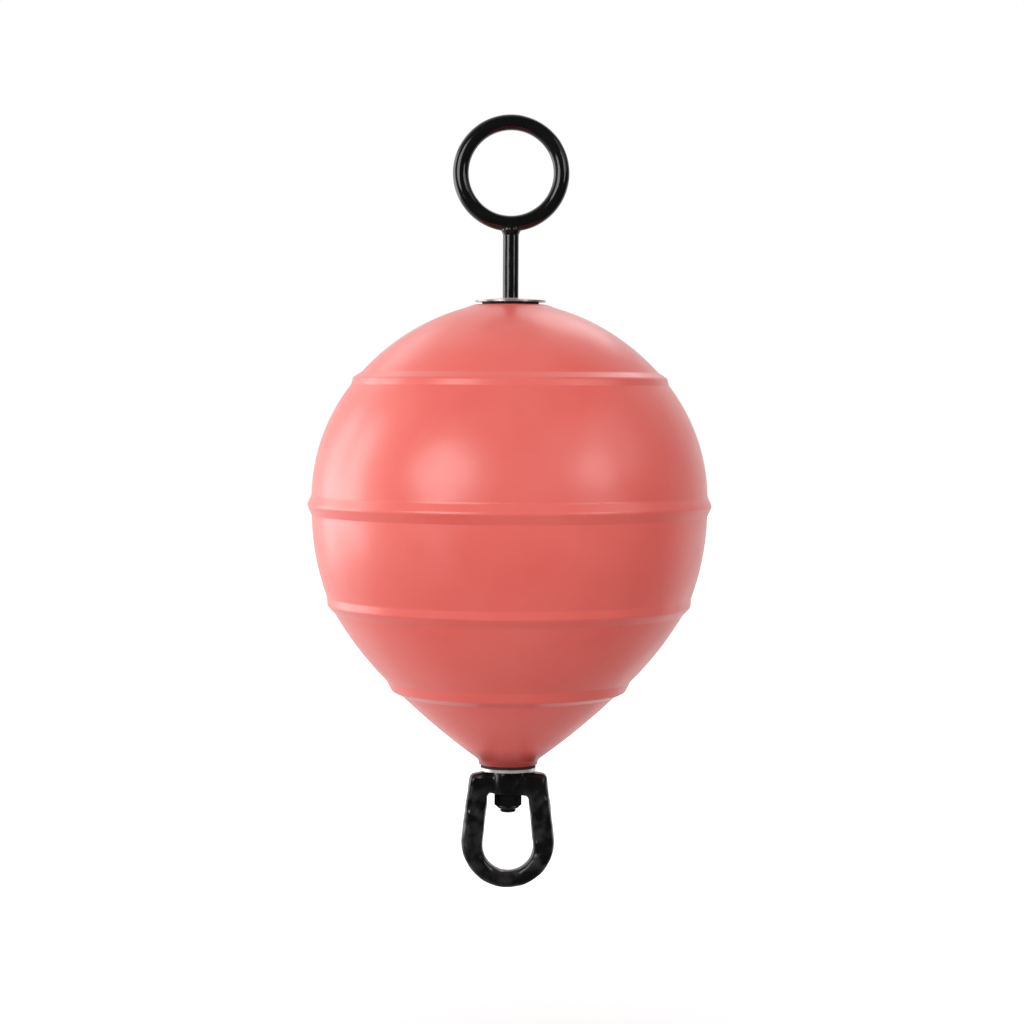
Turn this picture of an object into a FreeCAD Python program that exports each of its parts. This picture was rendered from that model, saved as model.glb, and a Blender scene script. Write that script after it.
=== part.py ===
import FreeCAD, Part
import math
import os

# Mooring buoy: a hollow ribbed float of moulded polyethylene on a steel rod. The rod carries a
# welded mooring ring above the float and a cast swivel eye for the chain below it. The origin is
# on the rod's axis at the height of the widest bead, which is where the buoy floats. +Z is up and
# the ring and the eye lie in the XZ plane.

# ---------------------------------------------------------------- driving dimensions, mm

# The float's outline, as the radius and height of each corner where two curved panels meet.
# Every panel is one arc that stands out from its straight chord by its own bulge.
boss_top_radius = 37.0
boss_top_z = 202.6
shoulder_radius = 46.2
boss_height = 3.4
upper_rib_radius = 156.4
upper_rib_z = 127.0
equator_radius = 200.6
lower_rib_radius = 182.0
lower_rib_z = -101.3
neck_rib_radius = 116.5
neck_rib_z = -186.3
neck_radius = 29.9
neck_top_z = -260.2
neck_length = 4.2

dome_bulge = 10.0
upper_side_bulge = 12.5
lower_side_bulge = 5.2
taper_bulge = 4.2
cone_bulge = 2.3
panel_bulges = [dome_bulge, upper_side_bulge, lower_side_bulge, taper_bulge, cone_bulge]

# The raised ribs and the bead. Each one stands out by its height at the corner between two panels,
# and reaches above and below that corner along the panels. Its upper flank runs softly into the
# panel above it, and its lower flank ends in a crisper crease.
upper_rib_height = 2.8
upper_rib_above = 10.0
upper_rib_below = 7.2
bead_height = 4.1
bead_above = 10.0
bead_below = 10.5
lower_rib_height = 2.4
lower_rib_above = 8.5
lower_rib_below = 10.5
neck_rib_height = 3.6
neck_rib_above = 11.0
neck_rib_below = 11.2
rib_crest_radius = 4.5
rib_upper_fillet = 5.0
rib_lower_fillet = 1.5
neck_fillet = 7.0
boss_fillet = 2.0

# The moulding's wall and the tube through its middle, which the rod passes with some play.
wall = 5.0
tube_wall = 4.0
tube_clearance = 0.8

# Rod and mooring ring.
rod_diameter = 16.0
rod_exposed_length = 66.8
rod_end_chamfer = 1.2
ring_mean_diameter = 101.8
ring_bar_diameter = 16.0
ring_weld_leg = 2.2
ring_weld_height = 3.6
ring_weld_hollow = 0.5
ring_weld_overlap = 0.4

# Washers and gaskets that close the float's two ends.
bore_clearance = 0.3
top_gasket_diameter = 57.5
top_gasket_thickness = 4.0
bottom_gasket_thickness = 3.4
top_washer_diameter = 71.0
washer_thickness = 3.0
top_washer_dish = 2.6
bottom_gasket_diameter = 56.0
bottom_washer_diameter = 56.5

# Swivel eye, one casting that turns freely on the rod.
swivel_axial_gap = 0.3
swivel_radial_gap = 0.3
hub_diameter = 35.0
hub_height = 23.4
hub_rise = 2.0
hub_foot = 0.8
hub_root_fillet = 2.5
yoke_half_width = 39.0
yoke_flat_half_width = 27.0
yoke_shoulder_drop = 2.0
yoke_depth = 23.0
bow_depth = 18.0
eye_outer_radius = 47.0
eye_inner_radius = 26.2
eye_bow_thickness = 16.8
eye_length = 120.2
opening_half_width = 20.6
opening_corner_radius = 5.0
eye_edge_radius = 6.0

# Hexagon nut, an M16 with full height, and the bead that locks it to the rod.
nut_across_flats = 24.0
nut_height = 13.0
nut_chamfer_width = 2.0
nut_chamfer_angle = 30.0
nut_weld_leg = 3.6
nut_weld_height = 2.6
nut_weld_swell = 0.9
stub_length = 3.6

# ---------------------------------------------------------------- places worked out from these

rod_radius = rod_diameter / 2
bore_radius = rod_radius + bore_clearance

shoulder_z = boss_top_z - boss_height
neck_bottom_z = neck_top_z - neck_length

top_gasket_z = boss_top_z
top_washer_z = top_gasket_z + top_gasket_thickness
rod_visible_from_z = top_washer_z + washer_thickness
ring_bar_radius = ring_bar_diameter / 2
ring_mean_radius = ring_mean_diameter / 2
ring_weld_radius = rod_radius + ring_weld_leg
ring_centre_z = rod_visible_from_z + rod_exposed_length + ring_bar_radius + ring_mean_radius

bottom_gasket_z = neck_bottom_z - bottom_gasket_thickness
bottom_washer_z = bottom_gasket_z - washer_thickness
hub_top_z = bottom_washer_z - swivel_axial_gap
hub_bottom_z = hub_top_z - hub_height
eye_bottom_z = hub_top_z - eye_length
yoke_top_z = hub_top_z - hub_rise
yoke_corner_z = yoke_top_z - yoke_shoulder_drop
yoke_bottom_z = hub_bottom_z + hub_foot
nut_top_z = hub_bottom_z - swivel_axial_gap
nut_weld_radius = rod_radius + nut_weld_leg
nut_bottom_z = nut_top_z - nut_height
rod_end_z = nut_bottom_z - nut_weld_height - stub_length


def vec(radius, height):
    """A point of a profile in the XZ half-plane."""
    return FreeCAD.Vector(radius, 0, height)


def line(start, end):
    return Part.LineSegment(start, end).toShape()


def arc(start, through, end):
    return Part.Arc(start, through, end).toShape()


def bulged_arc(start, end, bulge):
    """Arc that stands out to the left of its chord by bulge, or to the right if it is negative."""
    chord = end - start
    left = FreeCAD.Vector(-chord.z, 0, chord.x).normalize()
    return arc(start, (start + end) / 2 + left * bulge, end)


def revolve(edges):
    """Solid of revolution about the rod's axis from a closed outline."""
    face = Part.Face(Part.Wire(edges))
    return face.revolve(FreeCAD.Vector(0, 0, 0), FreeCAD.Vector(0, 0, 1), 360)


def disc(radius, thickness, base_z):
    return Part.makeCylinder(radius, thickness, FreeCAD.Vector(0, 0, base_z))


def circle_edges(solid, radius, height):
    """The solid's circular edges about the axis with this radius and height."""
    found = []
    for edge in solid.Edges:
        curve = edge.Curve
        if not isinstance(curve, Part.Circle):
            continue
        close_radius = abs(curve.Radius - radius) < 0.01
        close_height = abs(curve.Center.z - height) < 0.01
        if close_radius and close_height:
            found.append(edge)
    return found


# ---------------------------------------------------------------- float


def panel_circle(top, bottom, bulge):
    """Centre and radius of the arc from top to bottom that bulges outwards by bulge."""
    chord = bottom - top
    half = chord.Length / 2
    radius = (half * half + bulge * bulge) / (2 * bulge)
    outward = FreeCAD.Vector(-chord.z, 0, chord.x).normalize()
    centre = (top + bottom) / 2 - outward * (radius - bulge)
    return centre, radius


def point_along(circle, corner, distance, direction):
    """Point on a panel's arc at this distance from one of its ends, 1 downwards and -1 upwards."""
    centre, radius = circle
    start = corner - centre
    angle = math.atan2(start.z, start.x) - direction * distance / radius
    return centre + vec(math.cos(angle), math.sin(angle)) * radius


def middle_of_arc(circle, start, end):
    centre, radius = circle
    outward = ((start + end) / 2 - centre).normalize()
    return centre + outward * radius


def tangent_point(outside, centre, radius, side):
    """Where the line from an outside point touches a circle, on the given side of it."""
    to_centre = centre - outside
    reach = math.sqrt(to_centre.Length ** 2 - radius ** 2)
    turn = side * math.asin(radius / to_centre.Length)
    unit = to_centre.normalize()
    turned = vec(
        unit.x * math.cos(turn) - unit.z * math.sin(turn),
        unit.x * math.sin(turn) + unit.z * math.cos(turn),
    )
    return outside + turned * reach


def rib_outline(corner, upper_root, lower_root, height):
    """Two straight flanks and a round crest that stands proud of the corner by height."""
    across = (lower_root - upper_root).normalize()
    outward = vec(-across.z, across.x)
    crest = corner + outward * height
    crest_centre = crest - outward * rib_crest_radius
    flank_top = tangent_point(upper_root, crest_centre, rib_crest_radius, 1)
    flank_bottom = tangent_point(lower_root, crest_centre, rib_crest_radius, -1)
    return [
        line(upper_root, flank_top),
        arc(flank_top, crest, flank_bottom),
        line(flank_bottom, lower_root),
    ]


def float_corners(inset):
    """The corners between the panels from top to bottom, moved inwards by inset."""
    corners = [
        vec(shoulder_radius, shoulder_z),
        vec(upper_rib_radius, upper_rib_z),
        vec(equator_radius, 0),
        vec(lower_rib_radius, lower_rib_z),
        vec(neck_rib_radius, neck_rib_z),
        vec(neck_radius, neck_top_z),
    ]
    moved = []
    for index, corner in enumerate(corners):
        before = corners[max(index - 1, 0)]
        after = corners[min(index + 1, len(corners) - 1)]
        along = after - before
        outward = vec(-along.z, along.x).normalize()
        moved.append(corner - outward * inset)
    return moved


def float_outer():
    """Solid inside the float's outer surface, with its ribs, boss and neck."""
    corners = float_corners(0)
    panels = []
    for index, bulge in enumerate(panel_bulges):
        panels.append(panel_circle(corners[index], corners[index + 1], bulge))

    axis_top = vec(0, boss_top_z)
    boss_edge = vec(boss_top_radius, boss_top_z)
    edges = [line(axis_top, boss_edge), line(boss_edge, corners[0])]
    upper_roots = []
    lower_roots = []
    start = corners[0]
    ribs = [
        (upper_rib_height, upper_rib_above, upper_rib_below),
        (bead_height, bead_above, bead_below),
        (lower_rib_height, lower_rib_above, lower_rib_below),
        (neck_rib_height, neck_rib_above, neck_rib_below),
    ]
    for index, (height, reach_above, reach_below) in enumerate(ribs, start=1):
        above = panels[index - 1]
        below = panels[index]
        upper_root = point_along(above, corners[index], reach_above, -1)
        lower_root = point_along(below, corners[index], reach_below, 1)
        edges.append(arc(start, middle_of_arc(above, start, upper_root), upper_root))
        edges += rib_outline(corners[index], upper_root, lower_root, height)
        upper_roots.append(upper_root)
        lower_roots.append(lower_root)
        start = lower_root

    neck_top = corners[-1]
    neck_bottom = vec(neck_radius, neck_bottom_z)
    axis_bottom = vec(0, neck_bottom_z)
    edges.append(arc(start, middle_of_arc(panels[-1], start, neck_top), neck_top))
    edges.append(line(neck_top, neck_bottom))
    edges.append(line(neck_bottom, axis_bottom))
    edges.append(line(axis_bottom, axis_top))
    solid = revolve(edges)

    for root in upper_roots:
        solid = solid.makeFillet(rib_upper_fillet, circle_edges(solid, root.x, root.z))
    for root in lower_roots:
        solid = solid.makeFillet(rib_lower_fillet, circle_edges(solid, root.x, root.z))
    solid = solid.makeFillet(neck_fillet, circle_edges(solid, neck_top.x, neck_top.z))
    return solid.makeFillet(boss_fillet, circle_edges(solid, boss_top_radius, boss_top_z))


def float_cavity():
    """The sealed space between the moulding's wall and the tube through its middle."""
    corners = float_corners(wall)
    tube_radius = rod_radius + tube_clearance + tube_wall
    tube_top = vec(tube_radius, corners[0].z)
    tube_bottom = vec(tube_radius, corners[-1].z)
    edges = [line(tube_bottom, tube_top), line(tube_top, corners[0])]
    for start, end, bulge in zip(corners, corners[1:], panel_bulges):
        edges.append(bulged_arc(start, end, bulge))
    edges.append(line(corners[-1], tube_bottom))
    return revolve(edges)


def float_shell():
    bore_depth = boss_top_z - neck_bottom_z
    bore = disc(rod_radius + tube_clearance, bore_depth, neck_bottom_z)
    return float_outer().cut(float_cavity()).cut(bore)


# ---------------------------------------------------------------- rod and ring


def through_rod():
    """One straight bar from the ring to the stub under the nut."""
    top_z = ring_centre_z - ring_mean_radius
    rod = disc(rod_radius, top_z - rod_end_z, rod_end_z)
    end_edge = circle_edges(rod, rod_radius, rod_end_z)
    rod = rod.makeChamfer(rod_end_chamfer, end_edge)
    return rod.cut(mooring_ring())


def mooring_ring():
    centre = FreeCAD.Vector(0, 0, ring_centre_z)
    return Part.makeTorus(ring_mean_radius, ring_bar_radius, centre, FreeCAD.Vector(0, 1, 0))


def ring_weld():
    """The fillet bead that flares from the rod on to the underside of the ring."""
    top_z = ring_centre_z - ring_mean_radius
    outer_radius = ring_mean_radius + ring_bar_radius
    rim_z = ring_centre_z - math.sqrt(outer_radius ** 2 - ring_weld_radius ** 2)
    foot = vec(rod_radius, top_z - ring_bar_radius - ring_weld_height)
    rim = vec(ring_weld_radius, rim_z + ring_weld_overlap)
    shoulder = vec(rod_radius, top_z)
    bead = revolve([
        bulged_arc(foot, rim, ring_weld_hollow),
        line(rim, shoulder),
        line(shoulder, foot),
    ])
    return bead.cut(mooring_ring())


# ---------------------------------------------------------------- washers and gaskets


def flat_ring(outer_diameter, thickness, base_z):
    body = disc(outer_diameter / 2, thickness, base_z)
    return body.cut(disc(bore_radius, thickness, base_z))


def top_gasket():
    return flat_ring(top_gasket_diameter, top_gasket_thickness, top_gasket_z)


def top_washer():
    """A dished steel washer: flat over the gasket, with its rim turned down past it."""
    seat_radius = top_gasket_diameter / 2
    rim_radius = top_washer_diameter / 2
    top_z = top_washer_z + washer_thickness
    return revolve([
        line(vec(bore_radius, top_washer_z), vec(seat_radius, top_washer_z)),
        line(vec(seat_radius, top_washer_z), vec(rim_radius, top_washer_z - top_washer_dish / 2)),
        line(vec(rim_radius, top_washer_z - top_washer_dish / 2), vec(rim_radius, top_z - top_washer_dish)),
        line(vec(rim_radius, top_z - top_washer_dish), vec(bore_radius, top_z)),
        line(vec(bore_radius, top_z), vec(bore_radius, top_washer_z)),
    ])


def bottom_gasket():
    return flat_ring(bottom_gasket_diameter, bottom_gasket_thickness, bottom_gasket_z)


def bottom_washer():
    return flat_ring(bottom_washer_diameter, washer_thickness, bottom_washer_z)


# ---------------------------------------------------------------- swivel eye


def eye_outline(radius, centre_z, top_half_width, top_z, crown=()):
    """Two straight legs that open out into a round bow, with any points of a raised top."""
    rise = top_z - centre_z
    reach = math.hypot(top_half_width, rise)
    tangent_angle = math.atan2(rise, top_half_width) - math.acos(radius / reach)
    right = vec(radius * math.cos(tangent_angle), centre_z + radius * math.sin(tangent_angle))
    left = vec(-right.x, right.z)
    top_right = vec(top_half_width, top_z)
    top_left = vec(-top_half_width, top_z)
    bottom = vec(0, centre_z - radius)
    top = [top_left, *crown, top_right]
    edges = [line(start, end) for start, end in zip(top, top[1:])]
    edges.append(line(top_right, right))
    edges.append(arc(right, bottom, left))
    edges.append(line(left, top_left))
    return Part.Wire(edges)


def plate(wire, depth):
    """A flat plate with this front outline, centred on the XZ plane."""
    body = Part.Face(wire).extrude(FreeCAD.Vector(0, depth, 0))
    body.translate(FreeCAD.Vector(0, -depth / 2, 0))
    return body


def side_taper():
    """The casting's side outline, deep at the yoke and slimmer at the bow, across its width."""
    half_width = eye_outer_radius + 1
    yoke_y = yoke_depth / 2
    bow_y = bow_depth / 2
    outline = []
    for y, z in [
        (-yoke_y, yoke_top_z),
        (yoke_y, yoke_top_z),
        (yoke_y, yoke_bottom_z),
        (bow_y, eye_bottom_z),
        (-bow_y, eye_bottom_z),
        (-yoke_y, yoke_bottom_z),
        (-yoke_y, yoke_top_z),
    ]:
        outline.append(FreeCAD.Vector(-half_width, y, z))
    return Part.Face(Part.makePolygon(outline)).extrude(FreeCAD.Vector(2 * half_width, 0, 0))


def edges_along_y(solid, half_width, height):
    """The straight edges parallel to Y at this distance from the axis and this height."""
    found = []
    for edge in solid.Edges:
        first = edge.Vertexes[0].Point
        last = edge.Vertexes[-1].Point
        runs_along_y = abs(first.x - last.x) < 0.01 and abs(first.z - last.z) < 0.01
        in_place = abs(abs(first.x) - half_width) < 0.01 and abs(first.z - height) < 0.01
        if runs_along_y and in_place and edge.Length > 1:
            found.append(edge)
    return found


def front_and_back_edges(solid):
    """Every edge that bounds the front and back faces, and the yoke's two top corners."""
    found = edges_along_y(solid, yoke_half_width, yoke_corner_z)
    for edge in solid.Edges:
        points = edge.discretize(5)
        on_one_side = abs(sum(math.copysign(1, point.y) for point in points)) == 5
        crosses_bar = abs(points[0].z - yoke_bottom_z) < 0.01 and abs(points[-1].z - yoke_bottom_z) < 0.01
        if on_one_side and not crosses_bar:
            found.append(edge)
    return found


def eye_casting():
    """Yoke, legs and bow with their rounded edges, before the hub is added."""
    outer_centre_z = eye_bottom_z + eye_outer_radius
    inner_centre_z = eye_bottom_z + eye_bow_thickness + eye_inner_radius
    crown = [vec(-yoke_flat_half_width, yoke_top_z), vec(yoke_flat_half_width, yoke_top_z)]
    outer = eye_outline(eye_outer_radius, outer_centre_z, yoke_half_width, yoke_corner_z, crown)
    inner = eye_outline(eye_inner_radius, inner_centre_z, opening_half_width, yoke_bottom_z)
    opening = plate(inner, 2 * yoke_depth)
    corners = edges_along_y(opening, opening_half_width, yoke_bottom_z)
    opening = opening.makeFillet(opening_corner_radius, corners)
    return plate(outer, yoke_depth).common(side_taper()).cut(opening)


def hub_root_edges(solid):
    """The edges where the hub's wall meets the yoke, between its own top and bottom rims."""
    found = []
    for edge in solid.Edges:
        if edge.Length < 0.01:
            continue
        off_wall = [abs(math.hypot(point.x, point.y) - hub_diameter / 2) for point in edge.discretize(7)]
        between_rims = hub_bottom_z + 0.1 < edge.CenterOfMass.z < hub_top_z - 0.1
        if max(off_wall) < 0.02 and between_rims:
            found.append(edge)
    return found


def swivel_eye():
    """The whole casting, with its hub blended into the yoke and bored for the rod."""
    body = eye_casting()
    body = body.makeFillet(eye_edge_radius, front_and_back_edges(body))
    hub = disc(hub_diameter / 2, hub_height, hub_bottom_z)
    body = body.fuse(hub).removeSplitter()
    body = body.makeFillet(hub_root_fillet, hub_root_edges(body))
    bore = disc(rod_radius + swivel_radial_gap, hub_height, hub_bottom_z)
    return body.cut(bore)


# ---------------------------------------------------------------- nut


def hexagon(across_flats):
    """Hexagonal face with two corners on the X axis."""
    corner_radius = across_flats / math.sqrt(3)
    points = []
    for index in range(7):
        angle = math.radians(60 * index)
        points.append(FreeCAD.Vector(corner_radius * math.cos(angle), corner_radius * math.sin(angle), 0))
    return Part.Face(Part.makePolygon(points))


def nut_chamfer_body():
    """A cylinder coned at both ends, which takes the sharp corners off the hexagon."""
    corner_radius = nut_across_flats / math.sqrt(3)
    cone_height = nut_chamfer_width * math.tan(math.radians(nut_chamfer_angle))
    face_radius = corner_radius - nut_chamfer_width
    return revolve([
        line(vec(0, nut_bottom_z), vec(face_radius, nut_bottom_z)),
        line(vec(face_radius, nut_bottom_z), vec(corner_radius, nut_bottom_z + cone_height)),
        line(vec(corner_radius, nut_bottom_z + cone_height), vec(corner_radius, nut_top_z - cone_height)),
        line(vec(corner_radius, nut_top_z - cone_height), vec(face_radius, nut_top_z)),
        line(vec(face_radius, nut_top_z), vec(0, nut_top_z)),
        line(vec(0, nut_top_z), vec(0, nut_bottom_z)),
    ])


def swivel_nut():
    prism = hexagon(nut_across_flats).extrude(FreeCAD.Vector(0, 0, nut_height))
    prism.translate(FreeCAD.Vector(0, 0, nut_bottom_z))
    bore = disc(rod_radius, nut_height, nut_bottom_z)
    return prism.common(nut_chamfer_body()).cut(bore)


def nut_weld():
    """The bead round the rod under the nut, which stops it from working loose."""
    inner_top = vec(rod_radius, nut_bottom_z)
    outer_top = vec(nut_weld_radius, nut_bottom_z)
    inner_bottom = vec(rod_radius, nut_bottom_z - nut_weld_height)
    return revolve([
        line(inner_top, outer_top),
        bulged_arc(outer_top, inner_bottom, nut_weld_swell),
        line(inner_bottom, inner_top),
    ])


# ---------------------------------------------------------------- write one file per piece

pieces = {
    "float_shell": float_shell,
    "through_rod": through_rod,
    "mooring_ring": mooring_ring,
    "ring_weld": ring_weld,
    "top_washer": top_washer,
    "top_gasket": top_gasket,
    "bottom_gasket": bottom_gasket,
    "bottom_washer": bottom_washer,
    "swivel_eye": swivel_eye,
    "swivel_nut": swivel_nut,
    "nut_weld": nut_weld,
}

os.makedirs("parts", exist_ok=True)
for name, build in pieces.items():
    shape = build()
    shape.exportStep(f"parts/{name}.step")
    print(name, "volume", round(shape.Volume), "valid", shape.isValid(), "solids", len(shape.Solids))
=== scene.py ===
# %% [markdown]
# # A mooring buoy, finished in Blender
#
# A mooring buoy floats on the water and holds up a chain from the sea bed, so that a boat can
# tie on to the ring at its top. The shapes come in from CAD with every piece at its real size.
# In this lesson each piece gets its finish, three pieces get the shape that a welder or a
# foundry leaves behind, and a small studio is set up round it all.

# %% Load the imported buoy
import bpy
import bmesh
import math
from mathutils import Matrix, Vector, noise


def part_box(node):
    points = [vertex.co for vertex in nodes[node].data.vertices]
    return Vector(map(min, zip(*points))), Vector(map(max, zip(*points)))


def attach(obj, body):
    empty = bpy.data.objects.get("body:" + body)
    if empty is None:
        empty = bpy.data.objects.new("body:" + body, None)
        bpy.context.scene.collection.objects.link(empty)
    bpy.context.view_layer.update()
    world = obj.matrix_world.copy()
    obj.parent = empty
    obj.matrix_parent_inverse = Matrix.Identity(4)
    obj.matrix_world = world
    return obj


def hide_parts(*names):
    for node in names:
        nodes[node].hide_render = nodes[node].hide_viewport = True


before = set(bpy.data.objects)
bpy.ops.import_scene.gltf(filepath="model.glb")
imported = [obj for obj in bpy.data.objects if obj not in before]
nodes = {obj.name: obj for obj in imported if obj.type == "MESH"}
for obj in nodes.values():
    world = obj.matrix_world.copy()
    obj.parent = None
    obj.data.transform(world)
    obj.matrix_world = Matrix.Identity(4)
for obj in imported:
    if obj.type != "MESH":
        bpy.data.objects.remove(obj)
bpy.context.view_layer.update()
print("pieces:", sorted(nodes))

# %% [markdown]
# ## The camera
#
# The buoy is seen almost level, from a little above its middle, through a long lens that keeps
# the ribs nearly flat. The camera leans by a fraction of a degree, because the buoy hangs by
# its ring and isn't quite plumb. The camera could be turned by three angles, but those have to
# be found by trial. It is simpler to write down a lens, a place and an aim, and to turn the
# camera to the aim.

# %% Camera
MM = 0.001
CAMERA_DISTANCE = 2.690
EYE_LEVEL = 0.1225
CAMERA_LENS = 93.15
SENSOR_WIDTH = 36.0
CAMERA_LEAN = 0.3
AIM = Vector((0.0026, 0.0, -0.0075))

camera_data = bpy.data.cameras.new("camera")
camera_data.sensor_width = SENSOR_WIDTH
camera_data.lens = CAMERA_LENS
camera = bpy.data.objects.new("camera", camera_data)
camera.location = (AIM.x, -CAMERA_DISTANCE, EYE_LEVEL)
camera.rotation_mode = "QUATERNION"
facing = (AIM - camera.location).to_track_quat("-Z", "Y")
lean = Matrix.Rotation(math.radians(CAMERA_LEAN), 3, "Z").to_quaternion()
camera.rotation_quaternion = facing @ lean
bpy.context.scene.collection.objects.link(camera)
bpy.context.scene.camera = camera
bpy.context.scene.view_settings.view_transform = "Standard"
print("camera at", tuple(round(part, 3) for part in camera.location))

# %% [markdown]
# ## Tools for the finishes
#
# Each finish is one Principled shader. What is the same all over, such as the metal or the
# strength of the gloss, is set on the shader's own sockets. What varies over the surface, such
# as small changes of colour, cloudy gloss and the bumps, comes from noise that is laid out in
# the piece's own coordinates, so it stays put when the piece turns.

# %% Helpers for finishes
FULL_RANGE = (0.0, 1.0)


def new_finish(name, colour, roughness, metallic=0.0, specular=0.5):
    """A material with its plain values set, and the Object coordinates that its patterns use."""
    material = bpy.data.materials.new(name)
    material.use_nodes = True
    tree = material.node_tree
    shader = tree.nodes["Principled BSDF"]
    shader.inputs["Base Color"].default_value = (*colour, 1.0)
    shader.inputs["Roughness"].default_value = roughness
    shader.inputs["Metallic"].default_value = metallic
    shader.inputs["Specular IOR Level"].default_value = specular
    place = tree.nodes.new("ShaderNodeTexCoord").outputs["Object"]
    return material, tree, shader, place


def cloud(tree, place, size, detail=2.0):
    """Noise whose lumps are about this many metres across, as a socket from 0 to 1."""
    texture = tree.nodes.new("ShaderNodeTexNoise")
    texture.inputs["Scale"].default_value = 1.0 / size
    texture.inputs["Detail"].default_value = detail
    tree.links.new(place, texture.inputs["Vector"])
    return texture.outputs["Fac"]


def spread(tree, value, band, wanted=FULL_RANGE):
    """Stretches a band of a value, from low to high, over the range that is wanted."""
    stretch = tree.nodes.new("ShaderNodeMapRange")
    stretch.inputs["From Min"].default_value = band[0]
    stretch.inputs["From Max"].default_value = band[1]
    stretch.inputs["To Min"].default_value = wanted[0]
    stretch.inputs["To Max"].default_value = wanted[1]
    tree.links.new(value, stretch.inputs["Value"])
    return stretch.outputs["Result"]


def two_colours(tree, value, first, second):
    """Goes from the first colour to the second as the value goes from 0 to 1.

    The first may also be the socket of a colour that already varies.
    """
    blend = tree.nodes.new("ShaderNodeMix")
    blend.data_type = "RGBA"
    if isinstance(first, bpy.types.NodeSocket):
        tree.links.new(first, blend.inputs["A"])
    else:
        blend.inputs["A"].default_value = (*first, 1.0)
    blend.inputs["B"].default_value = (*second, 1.0)
    tree.links.new(value, blend.inputs["Factor"])
    return blend.outputs["Result"]


def height_of(tree, place):
    """How high a point is, in metres."""
    parts = tree.nodes.new("ShaderNodeSeparateXYZ")
    tree.links.new(place, parts.inputs["Vector"])
    return parts.outputs["Z"]


def vector_math(tree, operation, vector, other=None):
    """One Vector Math node on a vector, and on a fixed second vector if the operation has one."""
    node = tree.nodes.new("ShaderNodeVectorMath")
    node.operation = operation
    tree.links.new(vector, node.inputs[0])
    if other is not None:
        node.inputs[1].default_value = other
    return node.outputs


def add_bumps(tree, shader, layers):
    """Lays bumps one over another. Each layer is a height socket and its depth in metres."""
    previous = None
    for height, depth in layers:
        bump = tree.nodes.new("ShaderNodeBump")
        bump.inputs["Strength"].default_value = 1.0
        bump.inputs["Distance"].default_value = depth
        tree.links.new(height, bump.inputs["Height"])
        if previous is not None:
            tree.links.new(previous, bump.inputs["Normal"])
        previous = bump.outputs["Normal"]
    tree.links.new(previous, shader.inputs["Normal"])


def dress(material, *node_names):
    """Puts a finish on pieces that came from CAD."""
    for node_name in node_names:
        slots = nodes[node_name].data.materials
        slots.clear()
        slots.append(material)
    print(material.name, "on", ", ".join(node_names))


# %% [markdown]
# ## The float's skin
#
# The float is one hollow moulding of coral-red plastic. Such a skin isn't a perfect gloss: it
# took a faint grain from the mould, it sank a little between the ribs as it cooled, and the
# pigment is slightly uneven. Paint-like gloss with a strong bump would make it look like a ball
# of clay, so the grain here is only hundredths of a millimetre deep, and a slow wave of tenths
# of a millimetre bends the reflections, which is what the eye picks up on a real moulding. The
# plastic gives two sheens at once, a wide hazy one and a fainter tight one, so a thin coat with
# less roughness lies over the base. Low on the neck the colour is painted much darker, as
# painted shade under the overhang of the cone.

# %% Coral float skin
CORAL = (0.77, 0.116, 0.094)
CORAL_PALE = (0.785, 0.130, 0.107)
CORAL_DEEP = (0.755, 0.103, 0.082)
# The next colour and heights are painted shade low on the neck.
CORAL_PAINTED_SHADE = (0.33, 0.020, 0.015)
NECK_SHADE_HEIGHTS = (-0.244, -0.262)
CORAL_ROUGHNESS = 0.40
CORAL_ROUGHNESS_RANGE = (0.36, 0.44)
CORAL_SPECULAR = 0.8
COAT_WEIGHT = 0.3
COAT_ROUGHNESS = 0.22
MIDDLE_OF_NOISE = (0.3, 0.7)
PIGMENT_SIZE = 90 * MM
GLOSS_SIZE = 35 * MM
SINK_SIZE = 110 * MM
SINK_DEPTH = 0.6 * MM
GRAIN_SIZE = 1.6 * MM
GRAIN_DEPTH = 0.02 * MM

coral_skin, tree, shader, place = new_finish(
    "coral_skin", CORAL, CORAL_ROUGHNESS, specular=CORAL_SPECULAR,
)
shader.inputs["Coat Weight"].default_value = COAT_WEIGHT
shader.inputs["Coat Roughness"].default_value = COAT_ROUGHNESS
pigment = spread(tree, cloud(tree, place, PIGMENT_SIZE, detail=3.0), MIDDLE_OF_NOISE)
skin_colour = two_colours(tree, pigment, CORAL_DEEP, CORAL_PALE)
# The painted shade sets in over the last two centimetres above the lower gasket.
neck_shade = spread(tree, height_of(tree, place), NECK_SHADE_HEIGHTS)
skin_colour = two_colours(tree, neck_shade, skin_colour, CORAL_PAINTED_SHADE)
tree.links.new(skin_colour, shader.inputs["Base Color"])
gloss = cloud(tree, place, GLOSS_SIZE, detail=4.0)
gloss = spread(tree, gloss, MIDDLE_OF_NOISE, CORAL_ROUGHNESS_RANGE)
tree.links.new(gloss, shader.inputs["Roughness"])
sink = cloud(tree, place, SINK_SIZE, detail=0.0)
grain = cloud(tree, place, GRAIN_SIZE)
add_bumps(tree, shader, [(sink, SINK_DEPTH), (grain, GRAIN_DEPTH)])
dress(coral_skin, "float_shell")

# %% [markdown]
# ## Black enamel on the rod, ring and nut
#
# The rod with its ring is welded up from round bar and then coated in a thick, glossy black.
# The coat flows out smooth but keeps a slight orange peel, which breaks long highlights into
# dashes. A black coat has almost no colour of its own, so nearly all that is seen of it is its
# gloss: the roughness is low and the peel does the rest.

# %% Black enamel
ENAMEL = (0.0028, 0.0028, 0.0030)
ENAMEL_PALE = (0.005, 0.005, 0.0052)
ENAMEL_ROUGHNESS = 0.12
ENAMEL_ROUGHNESS_RANGE = (0.08, 0.16)
WEAR_SIZE = 12 * MM
TINT_SIZE = 20 * MM
RUN_SIZE = 9 * MM
RUN_DEPTH = 0.22 * MM
PEEL_SIZE = 2.2 * MM
PEEL_DEPTH = 0.016 * MM

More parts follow.
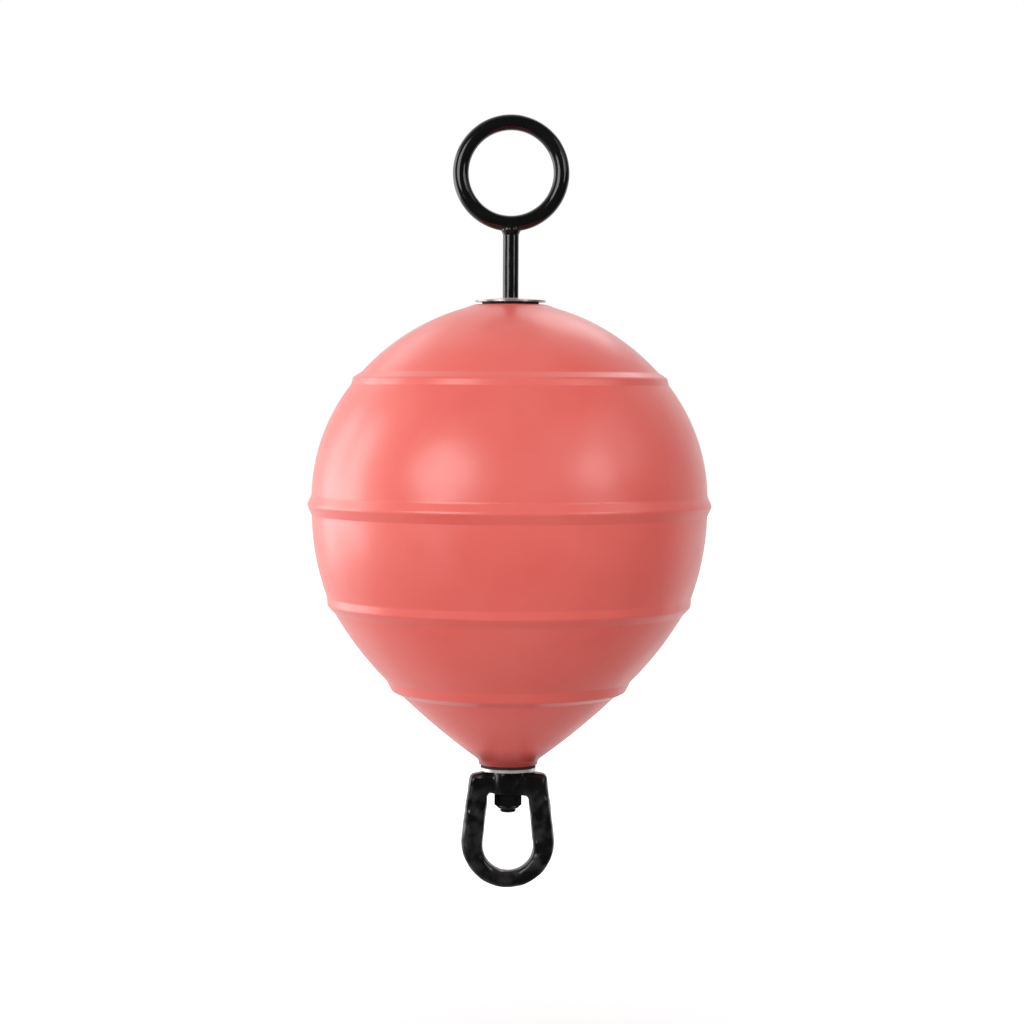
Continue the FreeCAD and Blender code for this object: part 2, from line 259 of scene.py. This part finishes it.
black_enamel, tree, shader, place = new_finish("black_enamel", ENAMEL, ENAMEL_ROUGHNESS)
wear = cloud(tree, place, WEAR_SIZE, detail=3.0)
wear = spread(tree, wear, (0.35, 0.7), ENAMEL_ROUGHNESS_RANGE)
tree.links.new(wear, shader.inputs["Roughness"])
tint = spread(tree, cloud(tree, place, TINT_SIZE), (0.4, 0.75))
tree.links.new(two_colours(tree, tint, ENAMEL, ENAMEL_PALE), shader.inputs["Base Color"])
runs = cloud(tree, place, RUN_SIZE, detail=0.0)
peel = cloud(tree, place, PEEL_SIZE, detail=1.0)
add_bumps(tree, shader, [(runs, RUN_DEPTH), (peel, PEEL_DEPTH)])
dress(black_enamel, "through_rod", "mooring_ring", "swivel_nut")

# %% [markdown]
# ## The same enamel over a rough casting
#
# The swivel eye wears the same black, but over a sand casting and under a chain. The coat
# follows the dimples of the sand, so its gloss breaks into soft patches instead of lines, and
# the legs and the bow are painted a dull grey here and there: part scuffs, part painted sheen.
# Painted patches alone would look like dust. Most of the effect comes from a deep, slow bump,
# and the scuffs and painted sheen only lift the colour a little.

# %% Enamel over the casting
# The grey of the scuffs and the painted sheen, where it sets in, and the size of its patches.
SCUFF_AND_SHEEN = (0.024, 0.024, 0.0245)
SCUFF_AND_SHEEN_HEIGHTS = (-0.300, -0.285)
SCUFF_AND_SHEEN_SIZE = 13 * MM
CAST_ROUGHNESS = 0.25
CAST_ROUGHNESS_RANGE = (0.15, 0.28)
CAST_SPECULAR = 0.45
PATCH_SIZE = 16 * MM
DIMPLE_SIZE = 14 * MM
DIMPLE_DEPTH = 3.8 * MM
SAND_SIZE = 1.6 * MM
SAND_DEPTH = 0.03 * MM

cast_enamel, tree, shader, place = new_finish(
    "cast_enamel", ENAMEL, CAST_ROUGHNESS, specular=CAST_SPECULAR,
)
patches = cloud(tree, place, PATCH_SIZE, detail=3.0)
patches = spread(tree, patches, (0.35, 0.65), CAST_ROUGHNESS_RANGE)
tree.links.new(patches, shader.inputs["Roughness"])
# Scuffs and painted sheen are strongest on the bow and the legs, and none are up at the hub.
most_scuff_and_sheen = spread(tree, height_of(tree, place), SCUFF_AND_SHEEN_HEIGHTS, (1.0, 0.0))
scuffs_and_sheen = spread(tree, cloud(tree, place, SCUFF_AND_SHEEN_SIZE, detail=1.0), (0.42, 0.72))
tree.links.new(most_scuff_and_sheen, scuffs_and_sheen.node.inputs["To Max"])
tree.links.new(two_colours(tree, scuffs_and_sheen, ENAMEL, SCUFF_AND_SHEEN), shader.inputs["Base Color"])
dimples = cloud(tree, place, DIMPLE_SIZE, detail=0.5)
sand = cloud(tree, place, SAND_SIZE)
add_bumps(tree, shader, [(dimples, DIMPLE_DEPTH), (sand, SAND_DEPTH)])
print("a rougher coat, ready for the swivel eye:", cast_enamel.name)

# %% [markdown]
# ## Turned steel washers
#
# The washers are bare stainless steel that was turned on a lathe, so their faces carry fine
# rings round the hole. A wave texture in rings about the upright axis gives those tool marks.
# They are a bump and not a painted pattern, because on real metal they only show by the way
# they bend the light. The steel isn't a mirror: it has a dull, pale film that lies in clouds,
# so it is only two thirds metallic. The rim of the top washer is painted darker than the face,
# as painted shade on its outer edge.

# %% Turned steel
STEEL = (0.80, 0.78, 0.73)
STEEL_PALE = (0.84, 0.82, 0.77)
STEEL_STAINED = (0.66, 0.63, 0.57)
# The next colour is painted shade for the rim of the top washer.
STEEL_RIM_SHADE = (0.40, 0.36, 0.33)
STEEL_ROUGHNESS = 0.3
STEEL_ROUGHNESS_RANGE = (0.24, 0.42)
STEEL_METALLIC = 0.65
STAIN_SIZE = 12 * MM
RIM_SHADE_RADII = (34.2 * MM, 35.3 * MM)
TOOL_MARK_SPACING = 0.7 * MM
TOOL_MARK_WAVER = 0.6
TOOL_MARK_DEPTH = 0.02 * MM
# A wave texture of scale 1 repeats every 2 pi / 20 metres.
WAVE_AT_SCALE_ONE = 2 * math.pi / 20

turned_steel, tree, shader, place = new_finish(
    "turned_steel", STEEL, STEEL_ROUGHNESS, metallic=STEEL_METALLIC,
)
marks = tree.nodes.new("ShaderNodeTexWave")
marks.wave_type = "RINGS"
marks.rings_direction = "Z"
marks.inputs["Scale"].default_value = WAVE_AT_SCALE_ONE / TOOL_MARK_SPACING
marks.inputs["Distortion"].default_value = TOOL_MARK_WAVER
tree.links.new(place, marks.inputs["Vector"])
stain = spread(tree, cloud(tree, place, STAIN_SIZE, detail=4.0), (0.35, 0.75))
steel_colour = two_colours(tree, stain, STEEL_PALE, STEEL_STAINED)
# How far a point is from the upright axis, whatever its height.
flat_place = vector_math(tree, "MULTIPLY", place, (1.0, 1.0, 0.0))["Vector"]
from_axis = vector_math(tree, "LENGTH", flat_place)["Value"]
# Out at the rim of the top washer the colour turns to painted shade.
steel_colour = two_colours(tree, spread(tree, from_axis, RIM_SHADE_RADII), steel_colour, STEEL_RIM_SHADE)
tree.links.new(steel_colour, shader.inputs["Base Color"])
dulled = spread(tree, stain, FULL_RANGE, STEEL_ROUGHNESS_RANGE)
tree.links.new(dulled, shader.inputs["Roughness"])
add_bumps(tree, shader, [(marks.outputs["Fac"], TOOL_MARK_DEPTH)])
dress(turned_steel, "top_washer", "bottom_washer")
print("tool marks every", round(TOOL_MARK_SPACING / MM, 2), "mm")

# %% [markdown]
# ## Rubber gaskets
#
# A thin gasket sits between each washer and the float and keeps the water out. It is cut from
# dull brown-black sheet with a fine, even grain. The rubber takes almost no highlight, so a
# high roughness and a close grain are enough.

# %% Gasket rubber
RUBBER = (0.017, 0.013, 0.012)
RUBBER_BLOOM = (0.034, 0.028, 0.026)
RUBBER_ROUGHNESS = 0.72
RUBBER_ROUGHNESS_RANGE = (0.66, 0.80)
RUBBER_SPECULAR = 0.3
BLOOM_SIZE = 6 * MM
RUBBER_GRAIN_SIZE = 0.9 * MM
RUBBER_GRAIN_DEPTH = 0.06 * MM

gasket_rubber, tree, shader, place = new_finish(
    "gasket_rubber", RUBBER, RUBBER_ROUGHNESS, specular=RUBBER_SPECULAR,
)
bloom = spread(tree, cloud(tree, place, BLOOM_SIZE, detail=4.0), (0.35, 0.75))
tree.links.new(two_colours(tree, bloom, RUBBER, RUBBER_BLOOM), shader.inputs["Base Color"])
dulled = spread(tree, bloom, FULL_RANGE, RUBBER_ROUGHNESS_RANGE)
tree.links.new(dulled, shader.inputs["Roughness"])
add_bumps(tree, shader, [(cloud(tree, place, RUBBER_GRAIN_SIZE), RUBBER_GRAIN_DEPTH)])
dress(gasket_rubber, "top_gasket", "bottom_gasket")

# %% [markdown]
# ## The weld beads
#
# Two welds hold the metalwork together: one where the rod meets the ring, and one under the nut
# that stops it from coming undone. A hand-laid bead is a row of small overlapping crescents,
# one for each drop of metal. It could be modelled crescent by crescent, but that makes hundreds
# of faces that cut through each other. Here the bead's section is spun round the rod in fine
# steps, and the surface is then pushed out in a saw-tooth that runs round the bead and lags at
# its edges, which draws the same crescents on one closed skin.

# %% Helpers for the beads
STEPS_PER_RIPPLE = 8
SECTION_POINTS = 9
RIPPLE_LAG = 0.55
# The unevenness comes from noise with this many waves in a metre, about this middle value.
UNEVEN_SCALE = 180.0
UNEVEN_MIDDLE = 0.7
UNEVEN_SWING = 0.6
SAME_POINT = 0.001 * MM


def bulged_section(start, end, bulge):
    """Points from start to end along a shallow curve whose middle stands out by the bulge."""
    run = Vector(end) - Vector(start)
    side = Vector((run.y, -run.x)).normalized()
    section = []
    for index in range(SECTION_POINTS):
        share = index / (SECTION_POINTS - 1)
        section.append(Vector(start) + run * share + side * bulge * 4 * share * (1 - share))
    return section


def spun_bead(section, ripples):
    """A closed section of (radius, height) points, turned once round the upright axis."""
    bead = bmesh.new()
    corners = [bead.verts.new((radius, 0.0, height)) for radius, height in section]
    for start, end in zip(corners, corners[1:] + corners[:1]):
        bead.edges.new((start, end))
    bmesh.ops.spin(
        bead, geom=bead.verts[:] + bead.edges[:], cent=(0, 0, 0), axis=(0, 0, 1),
        angle=2 * math.pi, steps=ripples * STEPS_PER_RIPPLE, use_merge=True,
    )
    bmesh.ops.remove_doubles(bead, verts=bead.verts[:], dist=SAME_POINT)
    bmesh.ops.recalc_face_normals(bead, faces=bead.faces[:])
    return bead


def ripple(bead, ripples, depth, low_z, high_z):
    """Pushes the bead out in crescents between two heights, most at the middle of its width."""
    for vertex in bead.verts:
        across = (vertex.co.z - low_z) / (high_z - low_z)
        if not 0.0 < across < 1.0:
            continue
        lag = RIPPLE_LAG * (2 * across - 1) ** 2
        turns = math.atan2(vertex.co.y, vertex.co.x) / (2 * math.pi) * ripples - lag
        swell = (1.0 - turns % 1.0) * math.sin(math.pi * across)
        unevenness = UNEVEN_MIDDLE + UNEVEN_SWING * noise.noise(vertex.co * UNEVEN_SCALE)
        outward = Vector((vertex.co.x, vertex.co.y, 0.0)).normalized()
        vertex.co += outward * depth * swell * unevenness


def add_piece(name, mesh_builder, material, body, replaced):
    """Turns a finished bmesh into a smooth-shaded piece that stands for a CAD node."""
    data = bpy.data.meshes.new(name)
    mesh_builder.to_mesh(data)
    mesh_builder.free()
    data.materials.append(material)
    data.polygons.foreach_set("use_smooth", [True] * len(data.polygons))
    piece = bpy.data.objects.new(name, data)
    bpy.context.scene.collection.objects.link(piece)
    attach(piece, body)
    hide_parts(replaced)
    print(name, "has", len(data.polygons), "faces")


# %% [markdown]
# ### The bead under the ring
#
# This bead fills the corner between the top of the rod and the ring's curved underside. Its
# outer face is very slightly hollow. It could be drawn right up to the rod and stop there, but
# then a dark hairline can show between the two, so its inner side is sunk a millimetre into the
# rod.

# %% Ring weld
BEAD_ROOT = 1 * MM
RING_WELD_RIPPLES = 26
RING_WELD_HOLLOW = -0.1 * MM
RING_WELD_RISE = 1.3 * MM
RING_WELD_BEVEL = 1 * MM
RING_RIPPLE_DEPTH = 0.45 * MM

rod_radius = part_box("through_rod")[1].y
root_radius = rod_radius - BEAD_ROOT
weld_low, weld_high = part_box("ring_weld")
rim_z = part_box("mooring_ring")[0].z + RING_WELD_RISE
section = bulged_section((rod_radius, weld_low.z), (weld_high.x, rim_z), RING_WELD_HOLLOW)
section += [
    Vector((rod_radius, weld_high.z)),
    Vector((root_radius, weld_high.z)),
    Vector((root_radius, weld_low.z + RING_WELD_BEVEL)),
]
bead = spun_bead(section, RING_WELD_RIPPLES)
ripple(bead, RING_WELD_RIPPLES, RING_RIPPLE_DEPTH, weld_low.z, weld_high.z)
add_piece("ring_weld_bead", bead, black_enamel, "root", "ring_weld")

# %% [markdown]
# ### The bead under the nut
#
# This one locks the nut to the rod. It stands out round and full, so the same helpers are used,
# and its section gets a bulge where the other has a hollow.

# %% Nut weld
NUT_WELD_RIPPLES = 24
NUT_WELD_BULGE = 0.8 * MM
NUT_WELD_BEVEL = 0.5 * MM
NUT_RIPPLE_DEPTH = 0.4 * MM

weld_low, weld_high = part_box("nut_weld")
section = bulged_section((rod_radius, weld_low.z), (weld_high.x, weld_high.z), NUT_WELD_BULGE)
section += [
    Vector((root_radius, weld_high.z)),
    Vector((root_radius, weld_low.z + NUT_WELD_BEVEL)),
]
bead = spun_bead(section, NUT_WELD_RIPPLES)
ripple(bead, NUT_WELD_RIPPLES, NUT_RIPPLE_DEPTH, weld_low.z, weld_high.z)
add_piece("nut_weld_bead", bead, black_enamel, "root", "nut_weld")

# %% [markdown]
# ## The swivel eye, a rough casting
#
# The chain from the sea bed hangs on this eye, and the eye turns on the rod. It was poured in
# sand, so it has no true flat or sharp edge: its skin is gently lumpy, a faint seam runs round
# the middle where the two halves of the mould met, and one corner of the opening has more metal
# in it than the other. A bump alone would leave the outline as true as a machined part. So the
# CAD shape is re-skinned with an even mesh first, which gives the same small cells everywhere
# to push about.

# %% Skin of the eye
EYE_SKIN = 1.0 * MM
CAD_SAME_POINT = 0.002 * MM
HALFWAY = 0.5


def even_skin(node_name, cell):
    """A closed mesh of even cells over a CAD node's shape."""
    solid = bmesh.new()
    solid.from_mesh(nodes[node_name].data)
    bmesh.ops.remove_doubles(solid, verts=solid.verts[:], dist=CAD_SAME_POINT)
    data = bpy.data.meshes.new("blank")
    solid.to_mesh(data)
    solid.free()
    blank = bpy.data.objects.new("blank", data)
    bpy.context.scene.collection.objects.link(blank)
    remesh = blank.modifiers.new("even_skin", "REMESH")
    remesh.mode = "VOXEL"
    remesh.voxel_size = cell
    graph = bpy.context.evaluated_depsgraph_get()
    skin = bmesh.new()
    skin.from_object(blank, graph)
    bpy.data.objects.remove(blank)
    bpy.data.meshes.remove(data)
    return skin


def relax(skin, vertices):
    """Moves each of these points halfway to the middle of its neighbours."""
    bmesh.ops.smooth_vert(
        skin, verts=vertices, factor=HALFWAY, use_axis_x=True, use_axis_y=True, use_axis_z=True,
    )


casting = even_skin("swivel_eye", EYE_SKIN)
relax(casting, casting.verts[:])
print("points in the skin:", len(casting.verts))

# %% [markdown]
# ### Round legs and bow
#
# The legs and the bow have full, round edges, and the hub above them keeps its shape. Rounding
# by a bevel would need clean edges to follow, and the skin has none. Relaxing the points below
# the hub again and again rounds every edge alike. It also shrinks the section by about a third
# of a millimetre, which is given back in the next step.

# %% Round the legs and the bow
ROUNDING_PASSES = 16
ROUNDED_BELOW = 7 * MM

nut_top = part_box("swivel_nut")[1].z
legs_and_bow = [point for point in casting.verts if point.co.z < nut_top - ROUNDED_BELOW]
for smoothing in range(ROUNDING_PASSES):
    relax(casting, legs_and_bow)
casting.normal_update()
print("points rounded:", len(legs_and_bow))

# %% [markdown]
# ### Lumps, seam and the fuller corner
#
# Smooth noise at two sizes moves the points in and out, the seam stands up in the middle plane,
# and the metal in one corner of the opening is drawn down. The bore and the hub's faces were
# machined, and they have to run clear of the rod and the washer. So the noise fades out there,
# and the bore is set back to its true radius.

# %% Shape of the casting
LUMP_DEPTH = 0.38 * MM
# How many waves of the noise go into a metre, and how strong the small ones are.
LARGE_LUMPS = 70.0
SMALL_LUMPS = 190.0
SMALL_LUMP_SHARE = 0.35
ROUNDING_LOSS = 0.35 * MM
SEAM_WIDTH = 0.9 * MM
SEAM_HEIGHT = 0.3 * MM
SEAM_FACING = (0.2, 0.7)
HUB_CLEAR = (18 * MM, 25 * MM)
BELOW_HUB = (1 * MM, 10 * MM)
BORE_GAP = 0.3 * MM
BORE_REACH = 0.6 * MM
BORE_FOOT = 2 * MM
CORNER_FILL = 3.0 * MM
# The corner with more metal in it is on the side of positive x. These are the distances from the
# axis, and the heights against the top of the nut, over which the filling grows and fades.
CORNER_GROWS_OUT = (9 * MM, 19 * MM)
CORNER_FADES_OUT = (21 * MM, 25 * MM)
CORNER_GROWS_UP = (nut_top - 12 * MM, nut_top - 1 * MM)
CORNER_FADES_UP = (nut_top + 1 * MM, nut_top + 7 * MM)


def smooth_step(value, low, high):
    """Goes gently from 0 at low to 1 at high."""
    share = min(max((value - low) / (high - low), 0.0), 1.0)
    return share * share * (3 - 2 * share)


def corner_share(spot):
    """How far a point is inside the fuller corner, from 0 to 1."""
    share = smooth_step(spot.x, *CORNER_GROWS_OUT)
    share *= 1 - smooth_step(spot.x, *CORNER_FADES_OUT)
    share *= smooth_step(spot.z, *CORNER_GROWS_UP)
    return share * (1 - smooth_step(spot.z, *CORNER_FADES_UP))


bore_edge = rod_radius + BORE_GAP
for vertex in casting.verts:
    spot = vertex.co.copy()
    out_from_axis = math.hypot(spot.x, spot.y)
    if out_from_axis < bore_edge + BORE_REACH and spot.z > nut_top - BORE_FOOT:
        scale = bore_edge / out_from_axis
        vertex.co = Vector((spot.x * scale, spot.y * scale, spot.z))
        continue
    vertex.co.z -= CORNER_FILL * corner_share(spot)
    below_hub = smooth_step(nut_top - spot.z, *BELOW_HUB)
    free = max(smooth_step(out_from_axis, *HUB_CLEAR), below_hub)
    lumps = noise.noise(spot * LARGE_LUMPS) + SMALL_LUMP_SHARE * noise.noise(spot * SMALL_LUMPS)
    seam = math.exp(-(spot.y / SEAM_WIDTH) ** 2)
    seam *= 1 - smooth_step(abs(vertex.normal.y), *SEAM_FACING)
    outward = LUMP_DEPTH * lumps + SEAM_HEIGHT * seam + ROUNDING_LOSS * below_hub
    vertex.co += vertex.normal * outward * free
add_piece("eye_casting", casting, cast_enamel, "swivel", "swivel_eye")

# %% [markdown]
# ## The floor
#
# The buoy is shown held up clear of everything, the way a maker shows one before it goes in the
# water. So the floor lies a little below the eye and nothing touches it. It is plain, pale and
# matt, and it catches a soft shadow under the buoy.

# %% Floor
FLOOR_DROP = 0.2
FLOOR_HALF_SIZE = 12.0
FLOOR_COLOUR = (0.74, 0.74, 0.74)
FLOOR_ROUGHNESS = 0.9
FLOOR_SPECULAR = 0.1

floor_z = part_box("swivel_eye")[0].z - FLOOR_DROP
floor_builder = bmesh.new()
bmesh.ops.create_grid(floor_builder, x_segments=1, y_segments=1, size=FLOOR_HALF_SIZE)
bmesh.ops.translate(floor_builder, verts=floor_builder.verts[:], vec=(0, 0, floor_z))
floor_data = bpy.data.meshes.new("studio_floor")
floor_builder.to_mesh(floor_data)
floor_builder.free()
floor = bpy.data.objects.new("studio_floor", floor_data)
bpy.context.scene.collection.objects.link(floor)
print("floor at height", round(floor_z, 3))

# %% [markdown]
# ## What each kind of ray sees
#
# The black pieces are drawn by what they mirror. Rays that bounce off them see a white backdrop
# behind and to the left, and a dark room on the camera's side. The camera itself sees white
# everywhere. The split follows fixed directions in the studio, so it stays put in every view,
# and the same helpers serve the floor and the world.

# %% Helpers for the studio
FRONT_GLOSS = 0.06
BACKDROP_GLOSS = 1.0
BACKDROP_SIDE = (-0.3, 0.954, 0.0)


def seen_by(tree, *rays):
    """1 for the kinds of ray that are named, and 0 for the others."""
    path = tree.nodes.new("ShaderNodeLightPath")
    total = path.outputs[rays[0]]
    for ray in rays[1:]:
        either = tree.nodes.new("ShaderNodeMath")
        either.operation = "MAXIMUM"
        tree.links.new(total, either.inputs[0])
        tree.links.new(path.outputs[ray], either.inputs[1])
        total = either.outputs["Value"]
    return total


def mix_shaders(tree, share, first, second):
    """The first shader where the share is 0, and the second where it is 1."""
    mix = tree.nodes.new("ShaderNodeMixShader")
    tree.links.new(share, mix.inputs["Fac"])
    tree.links.new(first, mix.inputs[1])
    tree.links.new(second, mix.inputs[2])
    return mix.outputs["Shader"]


def white_glow(tree, kind, strength):
    """A white emission or background node of this strength, as a shader socket."""
    glow = tree.nodes.new(kind)
    glow.inputs["Color"].default_value = (1, 1, 1, 1)
    glow.inputs["Strength"].default_value = strength
    return glow.outputs[0]


def mirrored_studio(tree, place, band, kind):
    """Dark on the camera's side of the studio, white on the far side and round to the left."""
    along = vector_math(tree, "DOT_PRODUCT", place, BACKDROP_SIDE)["Value"]
    front = white_glow(tree, kind, FRONT_GLOSS)
    backdrop = white_glow(tree, kind, BACKDROP_GLOSS)
    return mix_shaders(tree, spread(tree, along, band), front, backdrop)


# %% [markdown]
# ## The floor's paint
#
# To the camera, a strong glow is added to the floor's colour, and it grows with distance from
# the middle of the buoy, so the shadow is pale and the floor runs out to white with no horizon.
# The same white could come from stronger lamps, but those would bleach the float as well.

# %% Paint the floor
LIFT_REACH = (0.62, 1.5)
FLOOR_LIFT = (0.38, 0.85)
FLOOR_SPLIT = (-0.2, 0.6)

floor_paint, tree, shader, place = new_finish(
    "floor_paint", FLOOR_COLOUR, FLOOR_ROUGHNESS, specular=FLOOR_SPECULAR,
)
from_buoy = vector_math(tree, "LENGTH", place)["Value"]
lift = tree.nodes.new("ShaderNodeEmission")
tree.links.new(spread(tree, from_buoy, LIFT_REACH, FLOOR_LIFT), lift.inputs["Strength"])
lit_floor = tree.nodes.new("ShaderNodeAddShader")
tree.links.new(shader.outputs["BSDF"], lit_floor.inputs[0])
tree.links.new(lift.outputs["Emission"], lit_floor.inputs[1])
to_camera = seen_by(tree, "Is Camera Ray")
surface = mix_shaders(tree, to_camera, shader.outputs["BSDF"], lit_floor.outputs["Shader"])
mirrored_floor = mirrored_studio(tree, place, FLOOR_SPLIT, "ShaderNodeEmission")
bounced = seen_by(tree, "Is Glossy Ray", "Is Transmission Ray")
surface = mix_shaders(tree, bounced, surface, mirrored_floor)
tree.links.new(surface, tree.nodes["Material Output"].inputs["Surface"])
floor_data.materials.append(floor_paint)
print("glow of the floor from", FLOOR_LIFT[0], "to", FLOOR_LIFT[1])

# %% [markdown]
# ## The room
#
# The world stands in for the studio's walls. The camera sees it as pure white, matt surfaces
# get a weak, even fill from it, and mirrored rays see the same split into white backdrop and
# dark front as on the floor. An even white room would be simpler, but it turns black enamel
# grey all over.

# %% World
WORLD_FILL = 0.35
WORLD_WHITE = 1.0
WORLD_SPLIT = (-0.15, 0.65)

world = bpy.data.worlds.new("studio")
bpy.context.scene.world = world
world.use_nodes = True
tree = world.node_tree
tree.nodes.remove(tree.nodes["Background"])
fill = white_glow(tree, "ShaderNodeBackground", WORLD_FILL)
white = white_glow(tree, "ShaderNodeBackground", WORLD_WHITE)
direction = tree.nodes.new("ShaderNodeTexCoord").outputs["Generated"]
mirrored_room = mirrored_studio(tree, direction, WORLD_SPLIT, "ShaderNodeBackground")
bounced = seen_by(tree, "Is Glossy Ray", "Is Transmission Ray")
sky = mix_shaders(tree, bounced, fill, mirrored_room)
sky = mix_shaders(tree, seen_by(tree, "Is Camera Ray"), sky, white)
tree.links.new(sky, tree.nodes["World Output"].inputs["Surface"])
print("even fill of", WORLD_FILL)

# %% [markdown]
# ## The lamps
#
# Two round softboxes at the front make the two soft spots on the float: a strong one from the
# left and a smaller one from the right. Tall strips on the left wash that whole side with a
# pale sheen and draw the thin lines down the ring and the rod. Two wide fills, in front and
# overhead, even the light out. They are kept out of reflections, because they would show as
# grey bands in the black. Small softboxes behind pick out the shoulders of the dome. Each lamp
# is written down by where it stands, its size and how bright its face is, because the face is
# what a gloss shows.

# %% Lamps
# Azimuth 0 is the camera's side, and azimuth grows to the right. Angles are in degrees.
LAMP_COLUMNS = ("azimuth", "elevation", "distance", "width", "height", "radiance", "mirrored")
LAMPS = {
    "key_softbox": (-38, 16, 2.6, 1.6, 1.6, 4.6, True),
    "second_softbox": (49, 16, 2.6, 1.05, 1.05, 3.2, True),
    "left_strip": (-98, 0, 2.4, 0.8, 3.4, 3.8, True),
    "far_left_strip": (-120, -6, 2.4, 0.9, 3.4, 2.5, True),
    "front_softbox": (10, 20, 2.8, 3.2, 2.4, 0.62, False),
    "top_softbox": (0, 65, 2.4, 3.0, 2.4, 0.75, False),
    "back_left_softbox": (-140, 38, 2.4, 1.2, 0.8, 1.0, True),
    "back_right_softbox": (160, 42, 2.4, 0.8, 1.1, 1.5, True),
    "right_top_softbox": (70, 30, 2.4, 1.4, 1.4, 0.8, True),
}


def softbox(name, azimuth, elevation, distance, width, height, radiance, mirrored):
    """A soft oval lamp that faces the float, with a face of this brightness."""
    turn = math.radians(azimuth)
    rise = math.radians(elevation)
    stand = distance * Vector((
        math.sin(turn) * math.cos(rise), -math.cos(turn) * math.cos(rise), math.sin(rise),
    ))
    lamp = bpy.data.lights.new(name, "AREA")
    lamp.shape = "ELLIPSE"
    lamp.size = width
    lamp.size_y = height
    # A flat face gives off pi times its radiance and area. An oval fills pi / 4 of its rectangle.
    lamp.energy = radiance * math.pi * width * height * math.pi / 4
    holder = bpy.data.objects.new(name, lamp)
    holder.location = stand
    holder.rotation_mode = "QUATERNION"
    holder.rotation_quaternion = (-stand).to_track_quat("-Z", "Y")
    holder.visible_camera = False
    holder.visible_glossy = mirrored
    bpy.context.scene.collection.objects.link(holder)


for lamp_name, row in LAMPS.items():
    softbox(lamp_name, **dict(zip(LAMP_COLUMNS, row)))
print("lamps:", len(LAMPS))
